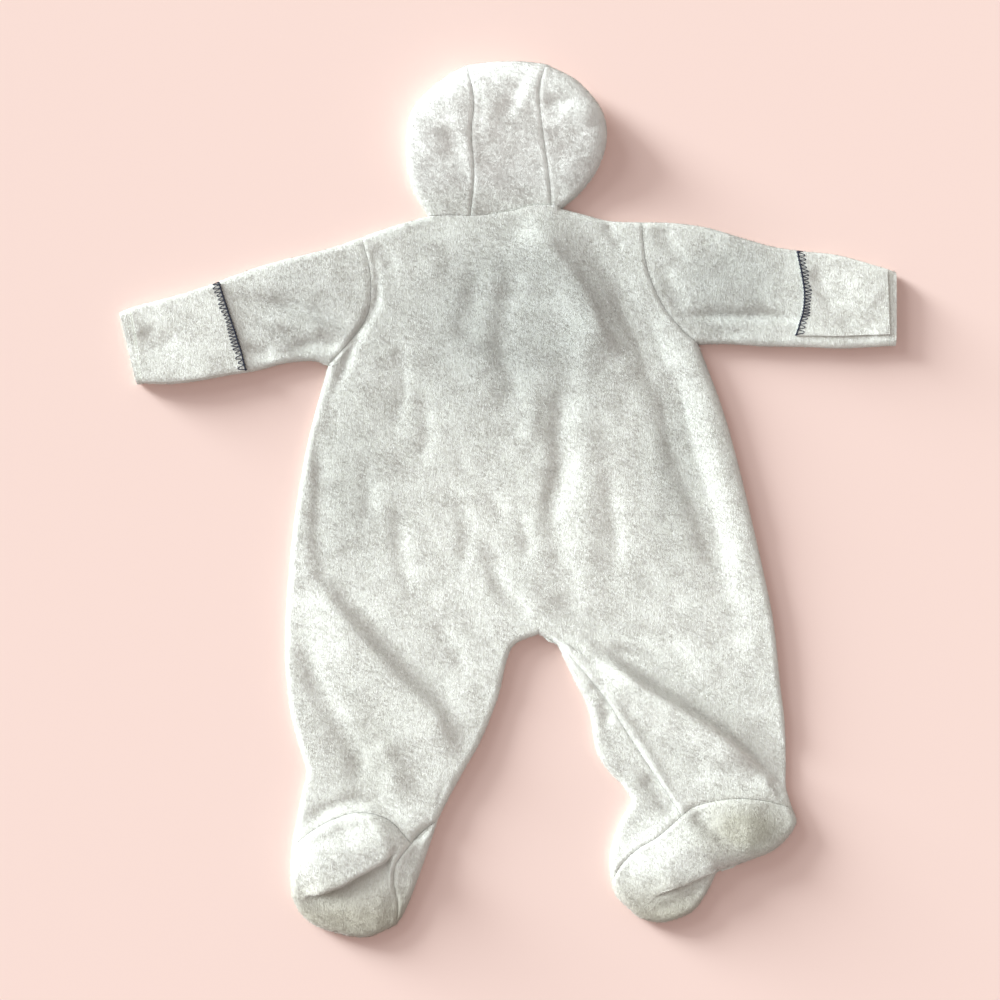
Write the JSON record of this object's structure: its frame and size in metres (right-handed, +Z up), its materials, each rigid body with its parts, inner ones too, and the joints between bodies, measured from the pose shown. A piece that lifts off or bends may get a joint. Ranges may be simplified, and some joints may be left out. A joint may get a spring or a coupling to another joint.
{
  "type": "footed onesie",
  "caption": "Hooded baby onesie in soft fleece with closed feet and fold-over mittens, laid flat with its back upwards.",
  "frame": {"origin": "middle of the box round the garment, on the surface that it lies on", "axes": "+X to the right as seen from above, +Y from the feet to the hood, +Z up out of the back"},
  "size_m": [0.622, 0.6999, 0.029],
  "materials": {
    "fleece": "soft brushed fleece with a short nap, cream",
    "zip_tape": "plain woven tape with a moulded chain, cream",
    "zip_metal": "smooth metal"
  },
  "bodies": {
    "garment": {"back": "fleece", "front_left": "fleece", "front_right": "fleece", "sleeve_left": "fleece", "sleeve_right": "fleece", "cuff_left": "fleece", "cuff_right": "fleece", "mitt_left": "fleece", "mitt_right": "fleece", "hood_centre": "fleece", "hood_left": "fleece", "hood_right": "fleece", "sole_left": "fleece", "sole_right": "fleece", "zip": "zip_tape", "zip_slider": "zip_metal"},
    "pull": {"zip_pull": "zip_metal"}
  },
  "joints": [
    {"name": "pull_hinge", "type": "hinge", "parent": "garment", "child": "pull", "pos_m": [-0.005, 0.1872, 0.0006], "axis": [1, 0, 0], "range_deg": [0, 110]}
  ]
}
